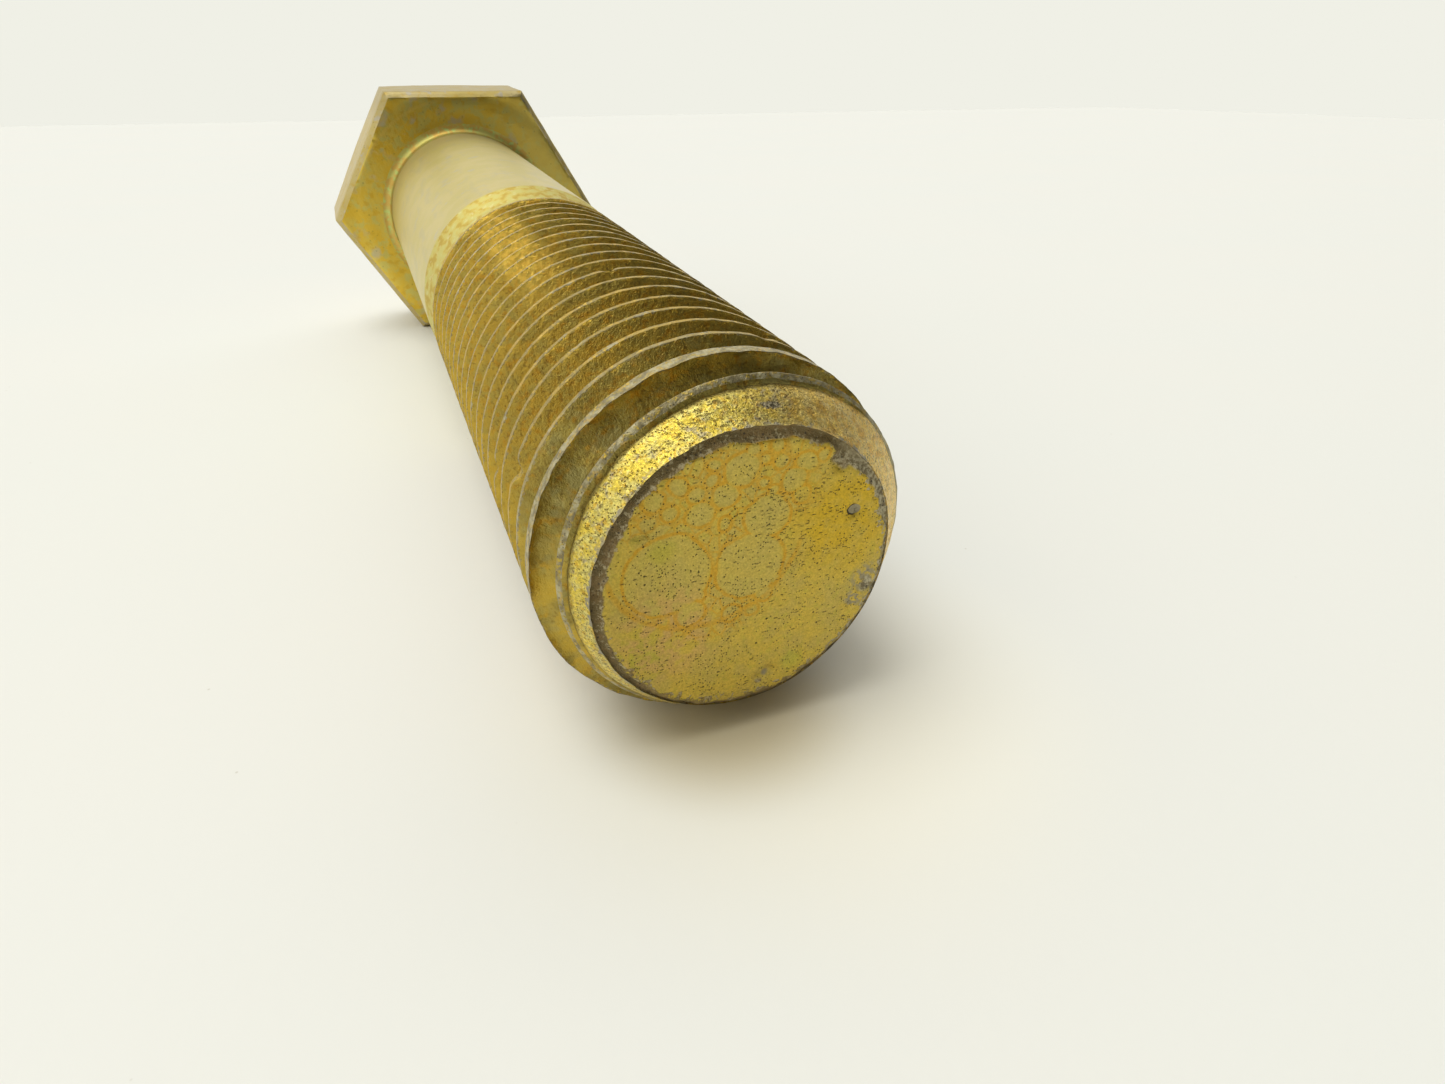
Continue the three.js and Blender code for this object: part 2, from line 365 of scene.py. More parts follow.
# Material building blocks.
# A short way to wire nodes: each call adds one node and gives its output.
class Finish:
    def __init__(self, name):
        self.material = bpy.data.materials.new(name)
        self.material.use_nodes = True
        self.tree = self.material.node_tree
        self.tree.nodes.clear()
        coordinate = self.tree.nodes.new("ShaderNodeTexCoord").outputs["Object"]
        self.place = self.vector("SCALE", coordinate, 1000.0)   # millimetres
        parts = self.tree.nodes.new("ShaderNodeSeparateXYZ")
        self.tree.links.new(self.place, parts.inputs[0])
        self.x, self.y, self.z = parts.outputs

    def feed(self, socket, value):
        if isinstance(value, bpy.types.NodeSocket):
            self.tree.links.new(value, socket)
        elif isinstance(value, (tuple, list)) and len(value) == 3 and socket.type == "RGBA":
            socket.default_value = (*value, 1)
        else:
            socket.default_value = value

    def sum(self, operation, first, second=0.0, third=0.0):
        node = self.tree.nodes.new("ShaderNodeMath")
        node.operation = operation
        for socket, value in zip(node.inputs, (first, second, third)):
            self.feed(socket, value)
        return node.outputs[0]

    def vector(self, operation, first, second=None):
        node = self.tree.nodes.new("ShaderNodeVectorMath")
        node.operation = operation
        self.feed(node.inputs[0], first)
        if operation == "SCALE":
            self.feed(node.inputs["Scale"], second)
        elif second is not None:
            self.feed(node.inputs[1], second)
        givesNumber = operation in ("LENGTH", "DISTANCE", "DOT_PRODUCT")
        return node.outputs["Value"] if givesNumber else node.outputs[0]

    def turned(self, angle, stretch):
        node = self.tree.nodes.new("ShaderNodeMapping")
        self.feed(node.inputs["Vector"], self.place)
        node.inputs["Rotation"].default_value = [math.radians(a) for a in angle]
        node.inputs["Scale"].default_value = stretch
        return node.outputs[0]

    def noise(self, size, detail=3.0, place=None, rough=0.5):
        node = self.tree.nodes.new("ShaderNodeTexNoise")
        self.feed(node.inputs["Vector"], place or self.place)
        node.inputs["Scale"].default_value = 1 / size
        node.inputs["Detail"].default_value = detail
        node.inputs["Roughness"].default_value = rough
        return node.outputs[0]

    # A slow sideways shift of places, up to about half of "reach" millimetres.
    def drift(self, size, reach):
        node = self.tree.nodes.new("ShaderNodeTexNoise")
        self.feed(node.inputs["Vector"], self.place)
        node.inputs["Scale"].default_value = 1 / size
        node.inputs["Detail"].default_value = 1
        return self.vector("SCALE", self.vector("SUBTRACT", node.outputs["Color"], (0.5, 0.5, 0.5)), reach)

    def cells(self, size, place=None, feature="F1"):
        node = self.tree.nodes.new("ShaderNodeTexVoronoi")
        node.feature = feature
        self.feed(node.inputs["Vector"], place or self.place)
        node.inputs["Scale"].default_value = 1 / size
        return node

    def fade(self, value, start, end, low=0.0, high=1.0):
        node = self.tree.nodes.new("ShaderNodeMapRange")
        node.interpolation_type = "SMOOTHSTEP"
        names = ("Value", "From Min", "From Max", "To Min", "To Max")
        for name, number in zip(names, (value, start, end, low, high)):
            self.feed(node.inputs[name], number)
        return node.outputs[0]

    def mix(self, share, first, second, blend="MIX"):
        node = self.tree.nodes.new("ShaderNodeMix")
        node.data_type = "RGBA"
        node.blend_type = blend
        self.feed(node.inputs[0], share)
        self.feed(node.inputs[6], first)
        self.feed(node.inputs[7], second)
        return node.outputs[2]

    # The value of a mesh attribute at each place.
    def attribute(self, name):
        node = self.tree.nodes.new("ShaderNodeAttribute")
        node.attribute_name = name
        return node.outputs["Fac"]

    def scaled(self, colour, amount):
        return self.vector("SCALE", colour, amount)

    # Small pits: the middles of some cells, more of them where "density" is high.
    def pits(self, size, density, radius=0.3, place=None):
        cell = self.cells(size, place)
        pick = self.tree.nodes.new("ShaderNodeSeparateColor")
        self.feed(pick.inputs[0], cell.outputs["Color"])
        spot = self.fade(cell.outputs["Distance"], radius, radius * 0.45)
        return self.sum("MULTIPLY", spot, self.sum("LESS_THAN", pick.outputs[0], density))

    def shade(self, colour, roughness, metallic, height, bumpDepth):
        bump = self.tree.nodes.new("ShaderNodeBump")
        bump.inputs["Distance"].default_value = bumpDepth * toMetres
        self.feed(bump.inputs["Height"], height)
        shader = self.tree.nodes.new("ShaderNodeBsdfPrincipled")
        self.feed(shader.inputs["Base Color"], colour)
        self.feed(shader.inputs["Roughness"], roughness)
        self.feed(shader.inputs["Metallic"], metallic)
        self.tree.links.new(bump.outputs[0], shader.inputs["Normal"])
        out = self.tree.nodes.new("ShaderNodeOutputMaterial")
        self.tree.links.new(shader.outputs[0], out.inputs[0])
        return self.material


# Tones that several finishes share.
zinc = {
    "grey": (0.33, 0.295, 0.21),
    "bareSteel": (0.62, 0.58, 0.47),
    "darkRing": (0.035, 0.026, 0.012),
}

bubbles = {   # dried froth on the end face: x, z, radius
    "rings": [
        (0.0, 1.4, 3.5), (-7.9, 1.9, 4.15), (1.5, 6.2, 2.3), (-1.1, 11.1, 1.75), (-4.9, 7.5, 1.35),
        (-2.6, 8.9, 1.3), (3.9, 9.2, 1.25), (5.1, 10.9, 1.15), (-5.8, -2.6, 1.45), (-1.6, -3.6, 1.05),
        (1.5, -2.1, 0.95), (0.35, -3.75, 0.7), (2.6, 11.4, 0.85), (-3.8, 10.5, 0.65), (1.1, 11.8, 0.55),
        (1.05, 9.55, 0.6), (2.05, 8.55, 0.6), (-2.5, 6.1, 0.7), (-4.9, -0.75, 0.62), (2.6, -0.75, 0.55),
        (-6.8, 10.5, 0.95), (-9.0, 9.4, 0.95), (-5.2, 9.5, 0.9), (-0.1, 12.9, 0.75), (2.1, 12.9, 0.75),
        (-3.5, 11.9, 0.65), (6.7, 11.4, 0.7), (4.9, 7.7, 0.85), (-7.6, 8.2, 0.8), (0.6, 4.2, 0.4),
    ],
    "outline": (-4.3, 5.2, 9.6),
    "line": 0.2,
}


endFace = {
    "ochre": (0.70, 0.51, 0.078),
    "tan": (0.62, 0.47, 0.10),
    "olive": (0.58, 0.49, 0.07),
    "insideRings": (0.63, 0.51, 0.13),
    "rings": (0.70, 0.385, 0.025),
    "pinkPatch": (0.70, 0.44, 0.14),
    "orangePatch": (0.72, 0.47, 0.02),
    "greenSpot": (0.52, 0.52, 0.06),
    "greenPatch": (0.52, 0.48, 0.04),
    "oliveSpot": (0.50, 0.46, 0.04),
    "pits": (0.07, 0.06, 0.02),
    "scrapeDark": (0.24, 0.205, 0.12),
    "scrapePale": (0.40, 0.35, 0.22),
    "bandDark": (0.205, 0.15, 0.056),
    "bandPale": (0.50, 0.42, 0.24),
    "bandBrown": (0.26, 0.17, 0.06),
    "rightBandDark": (0.24, 0.20, 0.11),
    "rightBandPale": (0.62, 0.56, 0.37),
    "bandPits": (0.05, 0.04, 0.025),
}


def endFaceFinish():
    f = Finish("zincEndFace")
    flat = f.vector("MULTIPLY", f.place, (1, 0, 1))
    bent = f.vector("MULTIPLY", f.vector("ADD", flat, f.drift(3.0, 0.9)), (1, 0, 1))
    bent = f.vector("MULTIPLY", f.vector("ADD", bent, f.drift(0.8, 0.3)), (1, 0, 1))
    nearest = 20.0
    for x, z, radius in bubbles["rings"]:
        nearest = f.sum("MINIMUM", nearest, f.sum("SUBTRACT", f.vector("DISTANCE", bent, (x, 0, z)), radius))
    lines = f.fade(f.sum("ABSOLUTE", nearest), bubbles["line"] * 1.3, bubbles["line"] * 0.4)
    x, z, radius = bubbles["outline"]
    outline = f.sum("SUBTRACT", f.vector("DISTANCE", bent, (x, 0, z)), radius)
    outline = f.fade(f.sum("ABSOLUTE", outline), bubbles["line"] * 2.2, bubbles["line"] * 0.6)
    lines = f.sum("MAXIMUM", lines, f.sum("MULTIPLY", outline, f.fade(f.z, 4.0, 1.5, 0, 0.8)))
    froth = f.fade(f.cells(1.25, bent, "DISTANCE_TO_EDGE").outputs["Distance"], 0.13, 0.02)
    outside = f.fade(nearest, 0.0, 0.3)
    upper = f.sum("MULTIPLY", f.fade(f.z, 4.5, 7.0), f.fade(f.x, 8.0, 5.0))
    inner = f.fade(f.vector("DISTANCE", bent, (-3.6, 0, 1.0)), 7.8, 6.2)
    froth = f.sum("MULTIPLY", f.sum("MULTIPLY", froth, outside), f.sum("MAXIMUM", upper, inner))
    lines = f.sum("MAXIMUM", lines, f.sum("MULTIPLY", froth, 0.75))
    lines = f.sum("MULTIPLY", lines, f.fade(f.noise(1.6, 4), 0.3, 0.55, 0.5, 1.0))

    def blob(x, z, radius, strength=1.0):
        gap = f.vector("DISTANCE", bent, (x, 0, z))
        return f.sum("MULTIPLY", f.fade(gap, radius, radius * 0.3), strength)

    colour = f.mix(f.fade(f.noise(2.6, 5), 0.38, 0.62), endFace["ochre"], endFace["tan"])
    colour = f.mix(f.fade(f.noise(0.7, 4), 0.48, 0.7, 0, 0.55), colour, endFace["olive"])
    colour = f.mix(f.fade(nearest, -0.1, -0.6, 0, 0.45), colour, endFace["insideRings"])
    pink = f.sum("MULTIPLY", blob(-8.0, -4.5, 7.5, 0.8), f.fade(f.noise(1.4, 4), 0.4, 0.58))
    colour = f.mix(pink, colour, endFace["pinkPatch"])
    orange = f.sum("MULTIPLY", blob(9.5, 4.5, 8.0, 0.85), f.fade(f.noise(2.0, 4), 0.3, 0.6, 0.3, 1))
    colour = f.mix(orange, colour, endFace["orangePatch"])
    colour = f.mix(blob(5, -11.2, 1.7, 0.5), colour, endFace["greenSpot"])
    green = f.sum("MULTIPLY", blob(-11, -6.5, 4.0, 0.9), f.fade(f.noise(0.9, 4), 0.45, 0.6, 0, 0.6))
    colour = f.mix(green, colour, endFace["greenPatch"])
    colour = f.mix(blob(-8.5, 4.5, 1.8, 0.5), colour, endFace["oliveSpot"])
    colour = f.mix(f.sum("MULTIPLY", lines, 0.85), colour, endFace["rings"])
    radial = f.vector("LENGTH", flat)
    pits = f.pits(0.24, f.fade(f.noise(3.0, 4), 0.35, 0.7, 0.06, 0.7), 0.36)
    bigPits = f.pits(0.5, f.fade(f.noise(2.0, 3), 0.42, 0.7, 0.02, 0.24), 0.26)
    slanted = f.turned((0, 28, 0), (0.8, 1, 3.0))
    marks = f.pits(0.56, f.fade(f.vector("DISTANCE", flat, (5.5, 0, 5.5)), 9, 2, 0.06, 0.5), 0.36, slanted)
    marks = f.sum("MULTIPLY", marks, f.fade(f.noise(1.5, 4), 0.4, 0.6, 0.35, 1))
    dark = f.sum("MAXIMUM", f.sum("MAXIMUM", pits, bigPits), marks)
    colour = f.mix(f.sum("MULTIPLY", dark, 0.9), colour, endFace["pits"])
    grain = f.fade(f.noise(0.22, 4, rough=0.65), 0.3, 0.7, 0.73, 1.01)
    colour = f.scaled(colour, grain)
    rubbed = f.sum("MAXIMUM", blob(12.4, -3.0, 2.2), blob(11.6, -5.2, 1.4))
    rubbed = f.sum("MULTIPLY", rubbed, f.fade(f.noise(0.7, 5), 0.44, 0.56))
    rubbed = f.sum("MAXIMUM", rubbed, blob(2.1, -12.1, 0.55))
    dent = f.vector("DISTANCE", f.vector("MULTIPLY", flat, (1, 1, 1.35)), (10.5, 0, 6.75))
    rubbed = f.sum("MAXIMUM", rubbed, f.fade(dent, 0.72, 0.62))
    colour = f.mix(rubbed, colour, f.mix(f.noise(0.3), endFace["scrapeDark"], endFace["scrapePale"]))
    # A dark ring round the edge of the dent on the right of the face.
    dentEdge = f.sum("ABSOLUTE", f.sum("SUBTRACT", dent, 0.72))
    rim = f.sum("MULTIPLY", f.fade(dentEdge, 0.14, 0.04), f.fade(f.x, 10.9, 10.3))
    colour = f.mix(rim, colour, zinc["darkRing"])
    below = f.fade(f.y, 0.1, 0.2)    # the crevice lies behind the face
    edge = f.sum("MULTIPLY", below, f.fade(radial, 12.6, 13.2))
    ragged = f.sum("ADD", radial, f.fade(f.noise(0.8, 5, rough=0.6), 0.3, 0.7, -0.8, 0.8))
    edge = f.sum("MAXIMUM", edge, f.sum("MULTIPLY", f.fade(ragged, 14.05, 14.25), 0.85))
    colour = f.scaled(colour, f.fade(f.x, -13, -4, 0.88, 1.0))
    flaked = f.sum("ADD", f.noise(0.4, 6, rough=0.65), f.fade(radial, 13.4, 14.8, 0.06, -0.08))
    scale = f.mix(f.fade(flaked, 0.49, 0.60), endFace["bandDark"], endFace["bandPale"])
    scale = f.mix(f.fade(f.noise(1.3, 3), 0.48, 0.62, 0, 0.7), scale, endFace["bandBrown"])
    rightBand = f.mix(f.fade(f.noise(0.4, 5), 0.38, 0.6), endFace["rightBandDark"], endFace["rightBandPale"])
    scale = f.mix(f.fade(f.x, 7.0, 13.0, 0, 0.9), scale, rightBand)
    scale = f.mix(f.sum("MULTIPLY", f.pits(0.4, 0.25, 0.35), 0.8), scale, endFace["bandPits"])
    colour = f.mix(edge, colour, scale)
    height = f.sum("SUBTRACT", f.sum("MULTIPLY", f.noise(0.5, 5), 0.35), dark)
    height = f.sum("ADD", height, f.sum("MULTIPLY", f.noise(0.14, 3), f.fade(edge, 0, 1, 0.35, 1.6)))
    roughness = f.fade(edge, 0, 1, 0.46, 0.7)
    return f.shade(colour, roughness, f.fade(edge, 0, 1, 0.75, 0.25), height, 0.08)


point = {
    "yellow": (0.72, 0.55, 0.075),
    "paleYellow": (0.66, 0.57, 0.16),
    "orange": (0.62, 0.38, 0.03),
    "pale": (0.74, 0.66, 0.27),
    "rightTan": (0.78, 0.53, 0.13),
    "rightPale": (0.70, 0.53, 0.19),
    "brown": (0.56, 0.33, 0.05),
    "fleckDark": (0.20, 0.165, 0.09),
    "fleckPale": (0.50, 0.44, 0.29),
    "pits": (0.15, 0.09, 0.018),
    "scarDark": (0.12, 0.10, 0.055),
    "scarPale": (0.42, 0.36, 0.22),
    "valley": (0.20, 0.155, 0.045),
}


def coneFinish():
    f = Finish("zincPoint")
    colour = f.mix(f.fade(f.noise(1.2, 5), 0.4, 0.6), point["yellow"], point["paleYellow"])
    colour = f.mix(f.fade(f.noise(0.6, 5), 0.52, 0.66, 0, 0.8), colour, point["orange"])
    colour = f.mix(f.fade(f.noise(0.35, 4), 0.54, 0.66, 0, 0.5), colour, point["pale"])
    tan = f.mix(f.fade(f.noise(0.8, 4), 0.4, 0.6), point["rightTan"], point["rightPale"])
    colour = f.mix(f.fade(f.sum("ADD", f.x, f.noise(2.5, 3)), -3.0, 9.0, 0, 0.85), colour, tan)
    brown = f.sum("MULTIPLY", f.fade(f.noise(1.1, 6, rough=0.65), 0.5, 0.6), f.fade(f.x, -2, 5, 0.1, 0.7))
    colour = f.mix(brown, colour, point["brown"])
    patches = f.fade(f.noise(2.2, 2), 0.44, 0.58)
    flecks = f.sum("MULTIPLY", f.fade(f.noise(0.8, 6, rough=0.7), 0.52, 0.60), patches)
    flecks = f.sum("MULTIPLY", flecks, f.fade(f.x, 0, 6, 0.8, 0.2))
    colour = f.mix(flecks, colour, f.mix(f.noise(0.25, 3), point["fleckDark"], point["fleckPale"]))
    # Painted shade and light: the cone darkens from its left side over its top and is painted brighter on its
    # right side.
    colour = f.scaled(colour, f.sum("MULTIPLY", f.fade(f.x, -9, 0, 1.0, 0.82), f.fade(f.x, 2, 8, 1.0, 1.5)))
    colour = f.scaled(colour, f.fade(f.noise(0.28, 5, rough=0.7), 0.32, 0.68, 0.72, 1.26))
    pits = f.pits(0.24, f.fade(f.noise(1.2, 4), 0.35, 0.65, 0.2, 0.85), 0.38)
    bigPits = f.pits(0.55, 0.26, 0.28)
    cracks = f.fade(f.noise(0.5, 6, f.turned((0, 35, 0), (0.6, 0.9, 2.0)), 0.68), 0.42, 0.37, 0, 0.8)
    dark = f.sum("MAXIMUM", f.sum("MAXIMUM", pits, bigPits), cracks)
    colour = f.mix(f.sum("MULTIPLY", dark, 0.8), colour, point["pits"])
    scarPlace = f.vector("MULTIPLY", f.place, (0.40, 1.4, 0.6))    # longest across the cone
    scar = f.fade(f.vector("DISTANCE", scarPlace, (0.76, 2.45, 9.3)), 0.62, 0.45)
    scar = f.sum("MULTIPLY", scar, f.fade(f.noise(0.5, 4), 0.36, 0.48))
    scarTone = f.mix(f.fade(f.noise(0.3, 3), 0.4, 0.6), point["scarDark"], point["scarPale"])
    colour = f.mix(scar, colour, scarTone)
    foot = f.fade(f.sum("ADD", f.y, f.fade(f.noise(0.6, 5), 0.3, 0.7, -0.35, 0.35)), 0.42, 0.22)
    colour = f.mix(f.sum("MULTIPLY", foot, f.fade(f.noise(2.0, 2), 0.35, 0.6, 0.2, 1)), colour, zinc["grey"])
    valley = f.attribute("crest")    # below zero where the cone dips before the first crest's step
    # Painted shade: darker where the cone dips before the first crest's step.
    colour = f.mix(f.fade(valley, -0.05, -0.8, 0, 0.85), colour, point["valley"])
    height = f.sum("SUBTRACT", f.sum("MULTIPLY", f.noise(0.35, 5, rough=0.62), 1.3), dark)
    roughness = f.fade(f.noise(0.9, 3), 0.3, 0.7, 0.28, 0.46)
    return f.shade(colour, roughness, 0.85, height, 0.1)


thread = {
    "flank": (0.43, 0.285, 0.038),
    "flankOlive": (0.37, 0.275, 0.052),
    "nearPoint": (0.34, 0.30, 0.09),
    "rust": (0.44, 0.235, 0.018),
    "dark": (0.15, 0.09, 0.018),
    "smooth": (0.37, 0.32, 0.11),
    "lowLeft": (0.60, 0.41, 0.05),
    "glint": (0.72, 0.50, 0.09),
    "paintedHighlight": (1.0, 0.68, 0.11),
    "paintedHighlightTowards": (-0.438, 0, 0.899),
    "fringe": (0.76, 0.52, 0.07),
    "crestDark": (0.28, 0.215, 0.068),
    "crestPale": (0.43, 0.345, 0.13),
    "crestGold": (0.54, 0.37, 0.065),
    "rubbedDark": (0.25, 0.21, 0.11),
    "rubbedPale": (0.50, 0.45, 0.27),
    "rubbedGold": (0.55, 0.38, 0.10),
    "specks": (0.12, 0.095, 0.05),
}


def threadFinish():
    f = Finish("zincThread")
    crest = f.attribute("crest")
    nearPoint = f.fade(f.y, 15.0, 9.0)
    colour = f.mix(f.fade(f.noise(1.7, 5), 0.38, 0.62), thread["flank"], thread["flankOlive"])
    colour = f.mix(f.sum("MULTIPLY", nearPoint, 0.5), colour, thread["nearPoint"])
    colour = f.mix(f.fade(f.noise(0.9, 5), 0.50, 0.68, 0, 0.75), colour, thread["rust"])
    colour = f.mix(f.fade(f.noise(0.35, 5), 0.5, 0.7, 0, 0.6), colour, thread["dark"])
    smooth = f.sum("MULTIPLY", f.fade(f.noise(2.4, 3), 0.52, 0.64, 0, 0.7), nearPoint)
    colour = f.mix(smooth, colour, thread["smooth"])
    patchy = f.sum("MULTIPLY", nearPoint, f.fade(f.noise(2.6, 4), 0.42, 0.58))
    colour = f.scaled(colour, f.fade(patchy, 0, 1, 1.08, 0.82))
    colour = f.scaled(colour, f.fade(f.y, 25, 60, 1.0, 1.18))
    lowLeft = f.sum("MULTIPLY", f.fade(f.x, -11, -16), f.fade(f.z, 8, -2))
    lowLeft = f.sum("MULTIPLY", lowLeft, f.fade(f.noise(1.8, 4), 0.34, 0.62, 0.1, 0.8))
    colour = f.mix(lowLeft, colour, thread["lowLeft"])
    glint = f.sum("MULTIPLY", f.pits(0.22, 0.22, 0.3), f.fade(f.noise(1.8, 3), 0.47, 0.6))
    colour = f.mix(f.sum("MULTIPLY", glint, 0.55), colour, thread["glint"])
    # Painted highlight: a bright orange band on the thread's flanks along its upper left side, from y 32 to
    # 90, broken up by noise.
    outward = f.vector("NORMALIZE", f.vector("MULTIPLY", f.place, (1, 0, 1)))
    paintedHighlight = f.fade(f.vector("DOT_PRODUCT", outward, thread["paintedHighlightTowards"]), 0.976, 0.9985)
    paintedHighlight = f.sum("MULTIPLY", paintedHighlight, f.sum("MULTIPLY", f.fade(f.y, 32, 55), f.fade(f.y, 90, 76)))
    paintedHighlight = f.sum("MULTIPLY", paintedHighlight, f.fade(f.noise(0.7, 4, rough=0.6), 0.36, 0.62, 0.3, 0.95))
    colour = f.mix(paintedHighlight, colour, thread["paintedHighlight"])
    jitter = f.fade(f.noise(0.45, 5, rough=0.6), 0.3, 0.7, -0.07, 0.05)
    torn = f.fade(f.sum("ADD", crest, jitter), f.fade(nearPoint, 0, 1, 0.955, 0.93), 0.99)
    fringe = f.fade(f.sum("ADD", crest, f.fade(f.noise(0.35, 4), 0.3, 0.7, -0.12, 0.06)), 0.86, 0.94)
    fringe = f.sum("MULTIPLY", f.sum("SUBTRACT", fringe, torn), f.fade(f.noise(1.1, 3), 0.42, 0.6))
    colour = f.mix(f.sum("MULTIPLY", fringe, f.fade(f.x, -17, -11, 0.25, 0.85)), colour, thread["fringe"])
    worn = f.mix(f.fade(f.noise(0.35, 4), 0.35, 0.7), thread["crestDark"], thread["crestPale"])
    worn = f.mix(f.fade(f.noise(1.8, 3), 0.45, 0.62, 0, 0.8), worn, thread["crestGold"])
    rubbed = f.mix(f.fade(f.noise(0.8, 5), 0.35, 0.66), thread["rubbedDark"], thread["rubbedPale"])
    rubbed = f.mix(f.fade(f.noise(0.5, 4), 0.56, 0.66, 0, 0.8), rubbed, thread["rubbedGold"])
    rubShare = f.sum("MAXIMUM", nearPoint, f.fade(f.noise(3.5, 3), 0.56, 0.64))
    worn = f.mix(rubShare, worn, rubbed)
    specks = f.pits(0.25, f.fade(nearPoint, 0, 1, 0.2, 0.3), 0.38)
    worn = f.mix(f.sum("MULTIPLY", specks, 0.8), worn, thread["specks"])
    colour = f.mix(torn, colour, worn)
    height = f.sum("ADD", f.sum("MULTIPLY", f.noise(0.5, 5), 0.9), f.sum("MULTIPLY", f.noise(0.15, 3), 0.5))
    return f.shade(colour, f.fade(torn, 0, 1, 0.36, 0.52), 0.8, height, 0.12)


shoulder = {
    "pale": (0.595, 0.54, 0.175),
    "gold": (0.615, 0.475, 0.09),
    "brown": (0.50, 0.35, 0.06),
    "palest": (0.66, 0.62, 0.30),
}


def shoulderFinish():
    f = Finish("zincShoulder")
    colour = f.mix(f.fade(f.noise(1.5, 4), 0.35, 0.65), shoulder["pale"], shoulder["gold"])
    colour = f.mix(f.fade(f.noise(1.5, 4), 0.48, 0.66, 0, 0.8), colour, shoulder["brown"])
    colour = f.mix(f.fade(f.noise(0.9, 3), 0.56, 0.7, 0, 0.6), colour, shoulder["palest"])
    height = f.sum("MULTIPLY", f.noise(0.4, 4), 0.7)
    return f.shade(colour, 0.55, 0.75, height, 0.06)


shank = {
    "yellow": (0.62, 0.52, 0.19),
    "gold": (0.59, 0.50, 0.155),
    "streaks": (0.53, 0.465, 0.23),
    "grey": (0.52, 0.475, 0.33),
    "patches": (0.62, 0.50, 0.14),
    "shadeNearHead": (0.53, 0.45, 0.22),
    "corner": (0.28, 0.23, 0.12),
}


def shankFinish():
    f = Finish("zincShank")
    along = f.turned((0, 0, 0), (1, 0.25, 1))
    colour = f.mix(f.fade(f.noise(5.0, 4), 0.38, 0.62), shank["yellow"], shank["gold"])
    colour = f.mix(f.fade(f.noise(2.0, 4, along), 0.5, 0.7, 0, 0.55), colour, shank["streaks"])
    colour = f.mix(f.fade(f.noise(3.4, 3), 0.58, 0.72, 0, 0.6), colour, shank["grey"])
    colour = f.mix(f.fade(f.noise(2.4, 3), 0.60, 0.74, 0, 0.5), colour, shank["patches"])
    # Painted shade: the shank grows darker towards the head.
    colour = f.mix(f.fade(f.y, 160, 174, 0, 0.65), colour, shank["shadeNearHead"])
    # Painted shade: a dark band in the corner where the shank meets the fillet.
    colour = f.mix(f.fade(f.y, 173.4, 175.3, 0, 0.6), colour, shank["corner"])
    height = f.sum("MULTIPLY", f.noise(0.8, 4), 0.5)
    return f.shade(colour, 0.40, 0.72, height, 0.05)


fillet = {
    "green": (0.62, 0.57, 0.16),
    "orange": (0.66, 0.44, 0.10),
    "paleGreen": (0.56, 0.64, 0.20),
    "corner": (0.24, 0.19, 0.07),
}


def filletFinish():
    f = Finish("zincFillet")
    colour = f.mix(f.fade(f.noise(2.2, 4), 0.42, 0.58), fillet["green"], fillet["orange"])
    colour = f.mix(f.fade(f.noise(1.2, 4), 0.53, 0.66), colour, fillet["paleGreen"])
    radial = f.vector("LENGTH", f.vector("MULTIPLY", f.place, (1, 0, 1)))
    # Painted shade: darker in the crease where the fillet meets the shank.
    colour = f.mix(f.fade(radial, 19.4, 19.1, 0, 0.5), colour, fillet["corner"])
    return f.shade(colour, 0.5, 0.7, f.noise(0.5, 3), 0.03)


bearing = {
    "orange": (0.60, 0.41, 0.045),
    "gold": (0.57, 0.43, 0.075),
    "olive": (0.50, 0.44, 0.12),
    "grey": (0.42, 0.39, 0.31),
    "brown": (0.52, 0.33, 0.03),
    "rightSide": (0.60, 0.49, 0.13),
    "step": (0.66, 0.49, 0.11),
    "specks": (0.15, 0.10, 0.03),
}


def bearingFinish():
    f = Finish("zincBearingFace")
    colour = f.mix(f.fade(f.noise(3.5, 4), 0.38, 0.62), bearing["orange"], bearing["gold"])
    colour = f.mix(f.fade(f.noise(2.2, 4), 0.5, 0.64, 0, 0.85), colour, bearing["olive"])
    colour = f.mix(f.fade(f.noise(4.5, 3), 0.56, 0.7, 0, 0.6), colour, bearing["grey"])
    colour = f.mix(f.fade(f.noise(1.8, 4), 0.55, 0.68, 0, 0.7), colour, bearing["brown"])
    colour = f.mix(f.fade(f.x, 6, 20, 0, 0.6), colour, bearing["rightSide"])
    flat = f.vector("MULTIPLY", f.place, (1, 0, 1))
    # Painted highlight: a bright arc on the washer step, on its upper left side only.
    gap = f.sum("ABSOLUTE", f.sum("SUBTRACT", f.vector("LENGTH", flat), bolt["washerRadius"]))
    line = f.fade(gap, 0.5, 0.1)
    line = f.sum("MULTIPLY", line, f.fade(f.vector("DISTANCE", flat, (-15, 0, 19)), 26, 6, 0.0, 0.45))
    colour = f.mix(line, colour, bearing["step"])
    colour = f.mix(f.sum("MULTIPLY", f.pits(0.9, 0.15, 0.3), 0.3), colour, bearing["specks"])
    # Painted light and shade: the bearing face is brighter towards its lower left and darker towards its
    # upper right.
    colour = f.scaled(colour, f.fade(f.sum("ADD", f.z, f.sum("MULTIPLY", f.x, 0.5)), 22, -22, 1.12, 1.32))
    return f.shade(colour, 0.38, 0.8, f.sum("MULTIPLY", f.noise(0.7, 4), 0.8), 0.06)


head = {
    "pale": (0.52, 0.43, 0.20),
    "gold": (0.50, 0.39, 0.12),
    "brown": (0.50, 0.34, 0.06),
    "grey": (0.45, 0.42, 0.35),
    "specks": (0.14, 0.10, 0.04),
}


